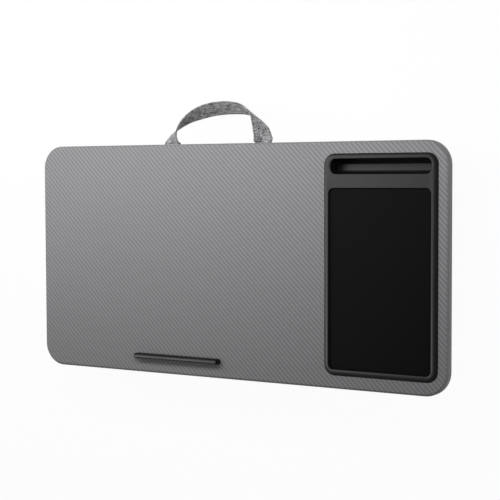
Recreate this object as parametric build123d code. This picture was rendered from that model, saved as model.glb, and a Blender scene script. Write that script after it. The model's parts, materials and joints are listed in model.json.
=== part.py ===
from build123d import *
import math
import os

os.makedirs("parts", exist_ok=True)

# A lap tray: a flat board with a media tray let into its right side, a device ledge at its
# front edge, a fabric carry strap at its rear edge and a two-bolster cushion under it.
# X runs to the user's right, Y to the rear and Z up. The origin is the centre of the
# board's top face, which is level.

# Board and its printed film
board_width = 600.0
board_span = 300.0
board_thickness = 12.0
board_corner_radius = 29.5
board_edge_round = 2.4
board_under_chamfer = 1.4
core_edge_chamfer = 1.2
film_thickness = 0.4
film_return = 16.0
liner_gap = 0.3

# Media tray: one moulding with a raised rim, a pad well and a phone slot
tray_width = 149.5
tray_corner_radius = 14.0
tray_from_right = 12.5
tray_from_rear = 14.6
tray_from_front = 16.4
tray_floor = 2.0
tray_fit = 0.25
rim_height = 2.5
rim_edge_height = 0.3
rim_slope_width = 5.4
rim_overlap = 3.5
opening_chamfer = 0.6

# Pad well and the mouse pad in it
well_corner_radius = 6.5
well_from_left = 7.0
well_from_right = 8.5
well_from_front = 7.7
well_recess = 3.0
pad_fit = 0.25
pad_cloth = 0.8

# Phone slot: a curved ramp that falls to a groove at the rear
slot_span = 18.0
slot_corner_radius = 7.0
slot_from_left = 9.7
slot_from_right = 7.8
slot_from_rear = 6.5
slot_wall = 1.8
slot_hole_fit = 0.4
ramp_front_drop = 14.5
ramp_rear_drop = 16.5
ramp_round = 6.0
groove_span = 6.2
groove_drop = 25.0
groove_round = 1.5

# The bar between the slot and the well, and the hollows under it
bar_span = 17.3
bar_wall = 2.0
bar_hollows = 6

# Countersunk screws that hold the tray down, under the mouse pad
tray_screw_length = 7.0
tray_screw_radius = 1.4
tray_screw_head_radius = 2.8
tray_screw_head_height = 1.6
tray_screw_inset = 24.0
screw_fit = 0.05

# Device ledge and the screws that come up into it
ledge_length = 132.5
ledge_width = 7.6
ledge_height = 9.0
ledge_end_radius = 3.7
ledge_chamfer_down = 2.2
ledge_chamfer_in = 1.9
ledge_offset = -78.3
ledge_from_front = 18.0
ledge_boss_radius = 3.0
ledge_boss_drop = 4.0
ledge_boss_fit = 0.2
ledge_screw_radius = 1.45
ledge_screw_head_radius = 2.9
ledge_screw_head_height = 2.1
ledge_screw_sink = 2.6
ledge_screw_reach = 5.0
ledge_screw_spacing = 84.0
ledge_screws = 2

# Hook and loop strips between the board and the cushion
strip_width = 20.0
strip_length = 170.0
strip_thickness = 1.0
strip_centre = -20.0
strip_place_shares = (-0.8, -0.35, 0.35, 0.8)

# Cushion: a stiff top panel with a piped seam, two bolsters and a thin pad between them
cushion_inset = 11.0
panel_thickness = 2.0
panel_corner_radius = 27.0
piping_radius = 2.0
piping_sides = 8
piping_gap = 0.1
seat_gap = 0.3
bolster_height = 56.0
bolster_side_inset = 2.0
bolster_inner_share = 0.22
bolster_bow = 3.0
bolster_corner_radius = 30.0
bolster_level_shares = (0.0, 0.12, 0.42, 0.8, 1.0)
bolster_inset_shares = (0.74, 0.33, 0.04, 0.0, 0.06)
bolster_pocket_gap = 0.6
bridge_side_gap = 8.0
bridge_end_inset = 5.0
bridge_height = 14.0
bridge_corner_radius = 12.0
bridge_level_shares = (1.0, 0.75, 0.3, 0.0)
bridge_inset_shares = (0.9, 0.3, 0.0, 0.1)

# Carry strap: a flat woven strap whose loop twists over between its two flat feet
strap_width = 24.5
strap_offset = -24.3
strap_foot_spacing = 137.8
strap_rise = 45.2
strap_droop = 21.0
strap_exit = 2.0
strap_fullness = 0.9
strap_droop_power = 2.3
strap_twist = 127.0
strap_twist_power = 2.15
strap_stations = 32
strap_step_share = 0.0001
strap_tab_length = 52.0
strap_tab_gap = 0.3

# One overrun for all cuts
overrun = 4.0

# Heights worked out from the sizes above
core_under = film_thickness - board_thickness
strap_thickness = 2 * strip_thickness
panel_top = -board_thickness - 2 * strip_thickness
panel_under = panel_top - panel_thickness
bolster_top = panel_under - seat_gap
rest_level = bolster_top - bolster_height
pocket_drop = well_recess + tray_floor

# Spans worked out from the sizes above
tray_span = board_span - tray_from_rear - tray_from_front
slot_width = tray_width - slot_from_left - slot_from_right
well_width = tray_width - well_from_left - well_from_right
well_span = tray_span - well_from_front - bar_span - slot_span - slot_from_rear
bolster_inner_edge = bolster_inner_share * board_width / 2
bolster_outer_edge = board_width / 2 - cushion_inset - bolster_side_inset

# Places worked out from the sizes above
tray_right = board_width / 2 - tray_from_right
tray_rear = board_span / 2 - tray_from_rear
tray_x = tray_right - tray_width / 2
tray_y = tray_rear - tray_span / 2
well_x = tray_right - well_from_right - well_width / 2
well_y = tray_rear - tray_span + well_from_front + well_span / 2
slot_x = tray_right - slot_from_right - slot_width / 2
slot_rear = tray_rear - slot_from_rear
slot_front = slot_rear - slot_span
slot_y = slot_rear - slot_span / 2
ledge_y = ledge_from_front + ledge_width / 2 - board_span / 2
hinge_y = board_span / 2 + strap_exit
hinge_z = -board_thickness - strap_thickness / 2


def plate(width, span, radius, low, high, x=0, y=0):
    """A flat plate with rounded corners, between two heights."""
    outline = RectangleRounded(width, span, radius)
    return Pos(x, y, low) * extrude(outline, high - low)


def along_x(count, spacing):
    """Evenly spaced places about zero."""
    return [(number - (count - 1) / 2) * spacing for number in range(count)]


# Board

def board_slab(shrink):
    """The board's plain slab, or the slab inside its film."""
    return plate(
        board_width - 2 * shrink,
        board_span - 2 * shrink,
        board_corner_radius - shrink,
        shrink - board_thickness,
        -shrink,
    )


def board_outside():
    """The whole board in its film, rounded above and drawn flat round the lower edge."""
    slab = board_slab(0)
    slab = fillet(slab.edges().group_by(Axis.Z)[-1], board_edge_round)
    return chamfer(slab.edges().group_by(Axis.Z)[0], board_under_chamfer)


def core_outside():
    """The board inside its film, with chamfered edges."""
    slab = board_slab(film_thickness)
    levels = slab.edges().group_by(Axis.Z)
    return chamfer(levels[0] + levels[-1], core_edge_chamfer)


def tray_pocket():
    """The recess that takes the tray's body, with its rim left to lie on the face."""
    return plate(
        tray_width - 2 * rim_overlap,
        tray_span - 2 * rim_overlap,
        tray_corner_radius - rim_overlap,
        -pocket_drop,
        overrun,
        tray_x,
        tray_y,
    )


def slot_hole(gap, low, high):
    """The hole that the phone slot's moulding passes through."""
    grow = slot_wall + gap
    return plate(
        slot_width + 2 * grow,
        slot_span + 2 * grow,
        slot_corner_radius + grow,
        low,
        high,
        slot_x,
        slot_y,
    )


def ledge_boss_holes():
    """Blind holes for the ledge's bosses, each with its screw's hole and sunk seat."""
    drop = ledge_boss_drop + ledge_boss_fit
    holes = []
    for place in along_x(ledge_screws, ledge_screw_spacing):
        boss = Cylinder(ledge_boss_radius + ledge_boss_fit, drop + overrun)
        holes.append(Pos(place, 0, (overrun - drop) / 2) * boss)
        bore = Cylinder(ledge_screw_radius + ledge_boss_fit, board_thickness)
        holes.append(Pos(place, 0, -board_thickness / 2) * bore)
        sink = Cylinder(ledge_screw_head_radius + ledge_boss_fit, ledge_screw_sink + overrun)
        sink_middle = core_under + (ledge_screw_sink - overrun) / 2
        holes.append(Pos(place, 0, sink_middle) * sink)
    return Pos(ledge_offset, ledge_y, 0) * Compound(holes)


def board_core():
    """The fibre board with every pocket and hole cut in it."""
    core = core_outside() - tray_pocket()
    core -= slot_hole(slot_hole_fit, -board_thickness - overrun, 0)
    for hole in ledge_boss_holes():
        core -= hole
    for spot in tray_screw_spots():
        core -= spot * screw_form(screw_fit)
    return core


def liner_plate(gap, low, high):
    """The sheet inside the folded margin of the film."""
    margin = film_return + gap
    return plate(
        board_width - 2 * margin,
        board_span - 2 * margin,
        board_corner_radius - margin,
        low,
        high,
    )


def board_film():
    """The printed film over the face and edges, folded in under the board."""
    film = board_outside() - core_outside()
    film -= liner_plate(0, -board_thickness - overrun, core_under)
    film -= tray_pocket()
    for hole in ledge_boss_holes():
        film -= hole
    return film


def underside_liner():
    """The thin backing sheet that covers the board's underside."""
    sheet = liner_plate(liner_gap, -board_thickness, core_under)
    return sheet - slot_hole(slot_hole_fit, -board_thickness - overrun, 0)


# Media tray

def trough_form(grow, high):
    """The phone slot's hollow, or the moulding round it when grow is its wall."""
    step = slot_rear - groove_span - grow
    front = slot_front - grow
    rear = slot_rear + grow
    points = [
        (front, high),
        (front, -ramp_front_drop - grow),
        (step, -ramp_rear_drop - grow),
        (step, -groove_drop - grow),
        (rear, -groove_drop - grow),
        (rear, high),
    ]
    section = make_face(Polyline(*points, close=True))
    hollows = section.vertices().sort_by(Axis.X)
    front_low = hollows[:2].sort_by(Axis.Y)[0]
    section = fillet(front_low, ramp_round + grow)
    rear_low = section.vertices().group_by(Axis.Y)[0]
    section = fillet(rear_low, groove_round + grow)
    run = extrude(Plane.YZ * section, slot_width, both=True)
    outline = plate(
        slot_width + 2 * grow,
        slot_span + 2 * grow,
        slot_corner_radius + grow,
        -groove_drop - grow - overrun,
        high,
        slot_x,
        slot_y,
    )
    return outline & (Pos(slot_x, 0, 0) * run)


def rim_cap():
    """The raised cap, whose edge falls away in a shallow curve to the board's face."""
    fall = rim_height - rim_edge_height
    curve = (rim_slope_width**2 + fall**2) / (2 * fall)
    spread = curve - rim_slope_width
    dome = plate(
        tray_width + 2 * spread,
        tray_span + 2 * spread,
        tray_corner_radius + spread,
        -curve,
        rim_height,
        tray_x,
        tray_y,
    )
    dome = fillet(dome.edges().group_by(Axis.Z)[-1], curve)
    return dome & plate(
        tray_width, tray_span, tray_corner_radius, 0, rim_height + overrun, tray_x, tray_y
    )


def well(low, shrink=0):
    """The pad well's hollow, or the pad in it when shrink is its fit."""
    return plate(
        well_width - 2 * shrink,
        well_span - 2 * shrink,
        well_corner_radius - shrink,
        low,
        rim_height + overrun,
        well_x,
        well_y,
    )


def screw_form(grow):
    """A countersunk screw with its head's top at zero, or the hole that it cuts."""
    head = tray_screw_head_radius + grow
    shank = tray_screw_radius + grow
    tip = tray_screw_length + grow
    points = [
        (0, grow),
        (head, grow),
        (shank, -tray_screw_head_height),
        (shank, -tip),
        (0, -tip),
    ]
    return revolve(Plane.XZ * make_face(Polyline(*points, close=True)), Axis.Z)


def tray_screw_spots():
    """Four screws, one near each corner of the pad well's floor."""
    reach_x = well_width / 2 - tray_screw_inset
    reach_y = well_span / 2 - tray_screw_inset
    middle = Pos(well_x, well_y, -well_recess)
    return [middle * Pos(side * reach_x, end * reach_y, 0) for side in (-1, 1) for end in (-1, 1)]


def bar_underside():
    """Open hollows under the bar, with a rib between each two."""
    low = well_y + well_span / 2 + bar_wall
    high = slot_front - slot_wall
    pitch = (slot_width - bar_wall) / bar_hollows
    size = Vector(pitch - bar_wall, high - low, pocket_drop + rim_height - bar_wall)
    middle = (rim_height - bar_wall - pocket_drop) / 2
    hollow = Box(size.X, size.Y, size.Z)
    return [
        Pos(slot_x + place, (low + high) / 2, middle) * hollow
        for place in along_x(bar_hollows, pitch)
    ]


def media_tray():
    """The whole moulding: cap, body, phone trough and open well."""
    inset = rim_overlap + tray_fit
    body = plate(
        tray_width - 2 * inset,
        tray_span - 2 * inset,
        tray_corner_radius - inset,
        -pocket_drop,
        0,
        tray_x,
        tray_y,
    )
    cap = rim_cap() - well(-overrun) - trough_form(0, rim_height + overrun)
    mouths = cap.edges().filter_by(is_mouth)
    cap = chamfer(mouths, opening_chamfer)
    body = body + trough_form(slot_wall, -well_recess)
    body = body - well(-well_recess) - trough_form(0, overrun)
    for hollow in bar_underside():
        body -= hollow
        cap -= hollow
    for spot in tray_screw_spots():
        body -= spot * screw_form(screw_fit)
    return body + cap


def is_mouth(edge):
    """True for an edge round the top of the well or the slot."""
    box = edge.bounding_box()
    inside = tray_width / 2 - rim_slope_width / 2
    level = min(box.min.Z, box.max.Z) > rim_height - opening_chamfer / 2
    reach = max(abs(box.min.X - tray_x), abs(box.max.X - tray_x))
    ends = max(abs(box.min.Y - tray_y), abs(box.max.Y - tray_y))
    at_slot = slot_front - bar_wall < box.min.Y and box.max.Y < slot_rear + bar_wall
    at_well = abs((box.min.Y + box.max.Y) / 2 - well_y) < well_span / 2 + bar_wall
    return level and reach < inside and ends < tray_span / 2 and (at_slot or at_well)


def mouse_pad_foam():
    """The rubber base of the mouse pad, on the floor of the well."""
    pad = well(-well_recess, pad_fit)
    return pad & plate(board_width, board_span, board_corner_radius, -board_thickness, -pad_cloth)


def mouse_pad_cloth():
    """The cloth face of the mouse pad, level with the board's face."""
    pad = well(-pad_cloth, pad_fit)
    return pad & plate(board_width, board_span, board_corner_radius, -board_thickness, 0)


def tray_screws():
    """All the tray's screws, as one group of separate solids."""
    return Compound([spot * screw_form(0) for spot in tray_screw_spots()])


# Device ledge

def device_ledge():
    """The stop bar, a moulding with sloped shoulders and bosses that enter the board."""
    bar = plate(ledge_length, ledge_width, ledge_end_radius, 0, ledge_height)
    shoulders = bar.edges().group_by(Axis.Z)[-1]
    top = bar.faces().sort_by(Axis.Z)[-1]
    bar = chamfer(shoulders, ledge_chamfer_in, ledge_chamfer_down, reference=top)
    for place in along_x(ledge_screws, ledge_screw_spacing):
        bar += Pos(place, 0, -ledge_boss_drop / 2) * Cylinder(ledge_boss_radius, ledge_boss_drop)
    pilot_height = ledge_boss_drop + ledge_screw_reach + screw_fit
    pilot = Cylinder(ledge_screw_radius + screw_fit, pilot_height)
    for place in along_x(ledge_screws, ledge_screw_spacing):
        bar -= Pos(place, 0, pilot_height / 2 - ledge_boss_drop) * pilot
    return Pos(ledge_offset, ledge_y, 0) * bar


def ledge_screw_group():
    """Pan-head screws from the underside of the board into the ledge."""
    seat = core_under + ledge_screw_sink
    group = []
    for place in along_x(ledge_screws, ledge_screw_spacing):
        head = Cylinder(ledge_screw_head_radius, ledge_screw_head_height)
        shank_height = ledge_screw_reach - seat
        shank = Cylinder(ledge_screw_radius, shank_height)
        screw = Pos(0, 0, seat - ledge_screw_head_height / 2) * head
        screw += Pos(0, 0, seat + shank_height / 2) * shank
        group.append(Pos(ledge_offset + place, ledge_y, 0) * screw)
    return Compound(group)


# Cushion

def strips(low):
    """One layer of the fastening strips, four of them side by side."""
    reach = board_width / 2 - cushion_inset
    strip = Box(strip_width, strip_length, strip_thickness)
    middle = low + strip_thickness / 2
    return Compound([Pos(share * reach, strip_centre, middle) * strip for share in strip_place_shares])


def soft_outline(width, span, radius, bow):
    """A rounded rectangle whose sides bow out."""
    right = width / 2
    rear = span / 2
    corners = [(-right, -rear), (right, -rear), (right, rear), (-right, rear)]
    sides = [SagittaArc(corners[n], corners[(n + 1) % 4], -bow) for n in range(4)]
    outline = make_face(Curve() + sides)
    return fillet(outline.vertices(), radius)


def seam_outline(grow):
    """The cushion's seam seen from above, or a line outside it."""
    return RectangleRounded(
        board_width - 2 * cushion_inset + 2 * grow,
        board_span - 2 * cushion_inset + 2 * grow,
        panel_corner_radius + grow,
    )


def cushion_panel():
    """The stiff fabric-faced panel that the cover is sewn to."""
    panel = Pos(0, 0, panel_under) * extrude(seam_outline(0), panel_thickness)
    return panel - slot_hole(slot_hole_fit, panel_under - overrun, 0)


def cushion_piping():
    """The piping sewn into the seam, just outside the panel, round but for its flat facets."""
    path = seam_outline(piping_radius + piping_gap).face().outer_wire()
    path = path.moved(Pos(0, 0, panel_top - piping_radius))
    ring = Plane(origin=path @ 0, z_dir=path % 0) * RegularPolygon(piping_radius, piping_sides)
    return sweep(ring, path=path)


def bolster(side):
    """One bolster: crowned, drawn in at its seam and flat only where it rests."""
    width = bolster_outer_edge - bolster_inner_edge
    span = board_span - 2 * (cushion_inset + bolster_side_inset)
    middle = side * (bolster_inner_edge + bolster_outer_edge) / 2
    sections = []
    for level, inset in zip(bolster_level_shares, bolster_inset_shares):
        drawn = 2 * inset * bolster_height
        outline = soft_outline(width - drawn, span - drawn, bolster_corner_radius, bolster_bow)
        sections.append(Pos(middle, 0, rest_level + level * bolster_height) * outline)
    return loft(sections, ruled=True)


def bolster_right():
    """The right bolster, with the pocket that the phone trough reaches into."""
    low = -groove_drop - slot_wall - bolster_pocket_gap
    return bolster(1) - slot_hole(bolster_pocket_gap, low, 0)


def cushion_bridge():
    """The thin pad between the bolsters."""
    width = 2 * (bolster_inner_edge - bridge_side_gap)
    span = board_span - 2 * (cushion_inset + bridge_end_inset)
    sections = []
    for level, inset in zip(bridge_level_shares, bridge_inset_shares):
        drawn = 2 * inset * bridge_height
        outline = RectangleRounded(width - drawn, span - drawn, bridge_corner_radius)
        sections.append(Pos(0, 0, bolster_top - level * bridge_height) * outline)
    return loft(sections, ruled=True)


# Carry strap

def arch_point(share):
    """A point on the middle line of the loop, from the left foot to the right."""
    angle = math.pi * share
    across = math.copysign(abs(math.cos(angle)) ** strap_fullness, -math.cos(angle))
    rise = abs(math.sin(angle)) ** strap_fullness
    return Vector(
        strap_offset + across * strap_foot_spacing / 2,
        hinge_y + strap_rise * rise,
        hinge_z - strap_droop * rise**strap_droop_power,
    )


def strap_corners(share):
    """The corners of the strap's section at one place on the loop, turned by its twist."""
    before = arch_point(max(share - strap_step_share, 0))
    after = arch_point(min(share + strap_step_share, 1))
    along = (after - before).normalized()
    if share in (0, 1):
        along = Vector(0, 1 - 2 * share, 0)
    near_foot = 2 * min(share, 1 - share)
    twist = math.radians(strap_twist) * (1 - (1 - near_foot) ** strap_twist_power)
    outward = Vector(0, 0, 1).cross(along).normalized()
    upward = along.cross(outward)
    across = outward * math.cos(twist) - upward * math.sin(twist)
    half_width = across * strap_width / 2
    half_wall = along.cross(across) * strap_thickness / 2
    place = arch_point(share)
    low, high = place - half_wall, place + half_wall
    return [low - half_width, low + half_width, high + half_width, high - half_width]


def strap_facets(before, after):
    """Flat triangles between two sections, cut the same way above and below."""
    facets = []
    for n in range(4):
        near, near_next = before[n], before[(n + 1) % 4]
        far, far_next = after[n], after[(n + 1) % 4]
        if n < 2:
            facets += [(near, near_next, far_next), (near, far_next, far)]
        else:
            facets += [(near, near_next, far), (near_next, far_next, far)]
    return facets


def handle_strap():
    """The free loop of the strap, with a rounded root where each foot flexes."""
    sections = [strap_corners(number / strap_stations) for number in range(strap_stations + 1)]
    outlines = [sections[0], sections[-1]]
    for before, after in zip(sections, sections[1:]):
        outlines += strap_facets(before, after)
    strap = Solid(Shell([make_face(Polyline(*outline, close=True)) for outline in outlines]))
    rod = Rot(0, 90, 0) * Cylinder(strap_thickness / 2, strap_width)
    root = split(rod, Plane.XZ, keep=Keep.TOP)
    for side in (-1, 1):
        strap += Pos(strap_offset + side * strap_foot_spacing / 2, hinge_y, hinge_z) * root
    return strap


def handle_tab(side):
    """One sewn end of the strap, flat between the board and the cushion."""
    rear = hinge_y - strap_thickness / 2 - strap_tab_gap
    tab = Box(strap_width, strap_tab_length, strap_thickness)
    x = strap_offset + side * strap_foot_spacing / 2
    return Pos(x, rear - strap_tab_length / 2, hinge_z) * tab


parts = {
    "board_core": board_core(),
    "board_film": board_film(),
    "underside_liner": underside_liner(),
    "media_tray": media_tray(),
    "tray_screws": tray_screws(),
    "mouse_pad_foam": mouse_pad_foam(),
    "mouse_pad_cloth": mouse_pad_cloth(),
    "device_ledge": device_ledge(),
    "ledge_screws": ledge_screw_group(),
    "hook_strips": strips(panel_top + strip_thickness),
    "loop_strips": strips(panel_top),
    "cushion_panel": cushion_panel(),
    "cushion_piping": cushion_piping(),
    "cushion_bridge": cushion_bridge(),
    "bolster_left": bolster(-1),
    "bolster_right": bolster_right(),
    "handle_tab_left": handle_tab(-1),
    "handle_tab_right": handle_tab(1),
    "handle_strap": handle_strap(),
}

for name, shape in parts.items():
    export_step(shape, f"parts/{name}.step")
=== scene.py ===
"""Dresses a lap tray: a twill-faced board, a media tray, a device ledge, a strap and a cushion."""

import json
import logging
import math
from collections.abc import Callable, Iterable, Sequence
from dataclasses import dataclass
from enum import Enum
from functools import partial

import bmesh
import bpy
from mathutils import Matrix, Vector, noise
from mathutils.bvhtree import BVHTree


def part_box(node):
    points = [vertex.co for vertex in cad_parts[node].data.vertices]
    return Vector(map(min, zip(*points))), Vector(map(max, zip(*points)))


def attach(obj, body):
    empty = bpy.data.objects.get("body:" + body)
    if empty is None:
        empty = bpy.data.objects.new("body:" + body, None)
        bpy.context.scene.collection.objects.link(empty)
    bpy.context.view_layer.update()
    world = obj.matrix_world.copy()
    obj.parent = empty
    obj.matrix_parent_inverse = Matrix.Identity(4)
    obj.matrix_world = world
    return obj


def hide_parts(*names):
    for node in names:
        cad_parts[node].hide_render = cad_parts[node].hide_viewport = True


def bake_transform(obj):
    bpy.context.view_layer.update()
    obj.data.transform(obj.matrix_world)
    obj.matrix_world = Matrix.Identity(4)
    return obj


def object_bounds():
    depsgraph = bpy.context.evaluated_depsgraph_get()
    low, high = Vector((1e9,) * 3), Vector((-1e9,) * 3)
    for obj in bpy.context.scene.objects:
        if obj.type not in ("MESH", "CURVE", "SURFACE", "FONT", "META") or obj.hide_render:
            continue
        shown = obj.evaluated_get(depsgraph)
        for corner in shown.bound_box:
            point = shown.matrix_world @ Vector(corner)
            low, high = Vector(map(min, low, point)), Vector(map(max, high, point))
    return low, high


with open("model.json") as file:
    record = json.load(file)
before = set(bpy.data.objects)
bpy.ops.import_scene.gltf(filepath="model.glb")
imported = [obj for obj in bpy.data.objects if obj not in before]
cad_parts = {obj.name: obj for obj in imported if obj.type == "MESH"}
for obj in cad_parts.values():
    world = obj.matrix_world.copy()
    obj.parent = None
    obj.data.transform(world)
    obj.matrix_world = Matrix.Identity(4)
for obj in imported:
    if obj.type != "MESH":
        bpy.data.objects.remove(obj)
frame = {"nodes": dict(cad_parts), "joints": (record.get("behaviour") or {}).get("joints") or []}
cad_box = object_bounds()
log = logging.getLogger("lap_tray")

MM = 0.001
TURN = 2 * math.pi
MERGE = 0.002 * MM  # points nearer than this become one
ALL_SMOOTH = math.pi  # the crease of a piece that has no sharp edge
CORNER_STEPS = 10
EDGE_STEPS = 3
FLAT_MAP = "flat_pattern"

Inputs = dict[str, object] | Sequence[object]
AddNode = Callable[..., bpy.types.Node]


class Body(str, Enum):
    """The two bodies of the frame."""

    TRAY = "tray"
    STRAP_LOOP = "strap_loop"


class Slot(str, Enum):
    """The record's material slots, by name; no piece here takes its finish from them."""

    FILM = "twill_film"
    MOULDING = "black_moulding"
    PAD_CLOTH = "pad_cloth"
    PIPING = "piping_fabric"
    CUSHION = "cushion_fabric"
    STRAP = "strap_fabric"


# Node helpers


def linear(colour: str) -> tuple[float, float, float, float]:
    """Turns an sRGB hex colour to linear light.

    Args:
        colour: Six hex digits after a hash sign.

    Returns:
        Red, green, blue and a full alpha.
    """
    levels = [int(colour[start : start + 2], 16) / 255 for start in (1, 3, 5)]
    light = [v / 12.92 if v <= 0.04045 else ((v + 0.055) / 1.055) ** 2.4 for v in levels]
    return (*light, 1.0)


def shown(sockets: Iterable[bpy.types.NodeSocket]) -> list[bpy.types.NodeSocket]:
    """Picks the sockets that a node shows under its settings."""
    return [socket for socket in sockets if socket.enabled]


def add_node(
    tree: bpy.types.NodeTree, kind: str, inputs: Inputs = (), **settings: object
) -> bpy.types.Node:
    """Adds one node with its settings, values and links.

    Args:
        tree: The node tree that it goes into.
        kind: The node's class name, after "ShaderNode".
        inputs: Values, or the nodes or sockets that feed them, by the names of the sockets or
            in the order in which the node shows them.
        **settings: Properties of the node itself.

    Returns:
        The new node.
    """
    node = tree.nodes.new("ShaderNode" + kind)
    for name, value in settings.items():
        setattr(node, name, value)
    if isinstance(inputs, dict):
        pairs = [(node.inputs[name], value) for name, value in inputs.items()]
    else:
        pairs = zip(shown(node.inputs), inputs)
    for socket, value in pairs:
        source = shown(value.outputs)[0] if isinstance(value, bpy.types.Node) else value
        if isinstance(source, bpy.types.NodeSocket):
            tree.links.new(source, socket)
        else:
            socket.default_value = source
    return node


def emptied(owner: bpy.types.Material | bpy.types.World) -> AddNode:
    """Clears the nodes of a material or a world.

    Args:
        owner: The material or the world.

    Returns:
        A function that adds a node to it.
    """
    owner.use_nodes = True
    owner.node_tree.nodes.clear()
    return partial(add_node, owner.node_tree)


# Finishes


@dataclass(frozen=True)
class Finish:
    """One real material and how its surface was made."""

    name: str

    def look(self, add: AddNode) -> dict[str, object]:
        """Works out what feeds the shader, which each finish does in its own way.

        Args:
            add: Adds a node to the material.

        Returns:
            A value, a node or a socket for each of the shader's inputs in use.
        """
        raise NotImplementedError

    def build(self) -> bpy.types.Material:
        """Makes the material.

        Returns:
            The material, whose shader has the finish's look.
        """
        material = bpy.data.materials.new(self.name)
        add = emptied(material)
        add("OutputMaterial", [add("BsdfPrincipled", self.look(add))])
        return material


@dataclass(frozen=True)
class TwillFilm(Finish):
    """PVC film, printed as a two-over-two twill and pressed round the board.

    The satin print gives soft diagonal ribs on the face only. The edge is plain and looks
    rolled, since the film eases down to it over a few millimetres.
    """

    name: str = "twill_printed_pvc_film"
    warp: str = "#919193"
    weft: str = "#79797B"
    gap: str = "#68686A"
    edge: str = "#7F7F81"
    half_size: tuple[float, float] = (0.3, 0.15)
    corner: float = 29.5 * MM
    roll_reach: float = 3.2 * MM
    roll_slope: float = 1.1
    rib_spacing: float = 4.75 * MM
    repeat: float = 4.0
    rows_over: float = 2.0
    print_depth: float = 0.03 * MM
    plain_below: float = -0.5 * MM
    printed_above: float = -0.5 * MM / 6
    gap_share: float = 0.4
    fibre_width: float = 0.35 * MM
    fibre_contrast: float = 0.3

    def look(self, add: AddNode) -> dict[str, object]:
        """Weaves the print on the face and leaves the edge plain.

        Args:
            add: Adds a node to the material.

        Returns:
            What feeds the shader.
        """
        place = add("TexCoord").outputs["Object"]
        tow = self.rib_spacing * math.sqrt(2) / self.repeat
        scaled = add("VectorMath", [place, 1 / tow], operation="SCALE")
        axes = add("SeparateXYZ", [scaled]).outputs
        cell = [add("Math", [axes[n]], operation="FLOOR") for n in (0, 1)]
        diagonal = add("Math", cell, operation="ADD")
        step = add("Math", [diagonal, self.repeat], operation="FLOORED_MODULO")
        over = add("Math", [step, self.rows_over - 0.5], operation="LESS_THAN")
        crowns = []
        for n in (0, 1):
            across = add("Math", [axes[n]], operation="FRACT")
            centred = add("Math", [across, 2.0, -1.0], operation="MULTIPLY_ADD")
            fall = add("Math", [centred, 2.0], operation="POWER")
            crowns.append(add("Math", [1.0, fall], operation="SUBTRACT"))
        spread = add("Math", crowns, operation="SUBTRACT")
        crown = add("Math", [over, spread, crowns[1]], operation="MULTIPLY_ADD")
        fibres = add("TexNoise", [place, 1 / self.fibre_width])
        level = add("Math", [over, self.fibre_contrast / 2], operation="SUBTRACT")
        level = add("Math", [fibres, self.fibre_contrast, level], operation="MULTIPLY_ADD")
        threads = add("Mix", [level, linear(self.weft), linear(self.warp)], data_type="RGBA")
        filled = add("Math", [crown, 1 / self.gap_share], operation="MULTIPLY")
        filled = add("Math", [filled, 1.0], operation="MINIMUM")
        twill = add("Mix", [filled, linear(self.gap), threads], data_type="RGBA")
        height = add("SeparateXYZ", [place]).outputs[2]
        depths = [height, self.plain_below, self.printed_above]
        face = add("MapRange", depths, interpolation_type="SMOOTHSTEP")
        relief = add("Math", [crown, self.print_depth], operation="MULTIPLY")
        relief = add("Math", [relief, self.roll(add, place)], operation="SUBTRACT")
        relief = add("Math", [relief, face], operation="MULTIPLY")
        return {
            "Base Color": add("Mix", [face, linear(self.edge), twill], data_type="RGBA"),
            "Roughness": 0.6,
            "IOR": 1.5,
            "Specular IOR Level": 0.2,
            "Normal": add("Bump", {"Height": relief, "Distance": 1.0}),
        }

    def roll(self, add: AddNode, place: bpy.types.NodeSocket) -> bpy.types.Node:
        """How far the face has eased down towards the board's edge.

        Args:
            add: Adds a node to the material.
            place: The place on the board, in metres.

        Returns:
            A node that gives the drop, in metres.
        """
        axes = add("SeparateXYZ", [place]).outputs
        past, outer = [], []
        for axis, half in zip(axes, self.half_size):
            aside = add("Math", [axis], operation="ABSOLUTE")
            past.append(add("Math", [aside, half - self.corner], operation="SUBTRACT"))
            beyond = add("Math", [past[-1], 0.0], operation="MAXIMUM")
            outer.append(add("Math", [beyond, 2.0], operation="POWER"))
        reach = add("Math", [add("Math", outer, operation="ADD")], operation="SQRT")
        inner = add("Math", [add("Math", past, operation="MAXIMUM"), 0.0], operation="MINIMUM")
        nearness = add("Math", [reach, inner], operation="ADD")
        from_edge = add("Math", [self.corner, nearness], operation="SUBTRACT")
        share = add("Math", [from_edge, self.roll_reach], operation="DIVIDE")
        near = add("Math", [1.0, share], operation="SUBTRACT")
        near = add("Math", [near, 0.0], operation="MAXIMUM")
        curve = add("Math", [near, 2.0], operation="POWER")
        return add("Math", [curve, self.roll_reach * self.roll_slope / 2], operation="MULTIPLY")


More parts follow.
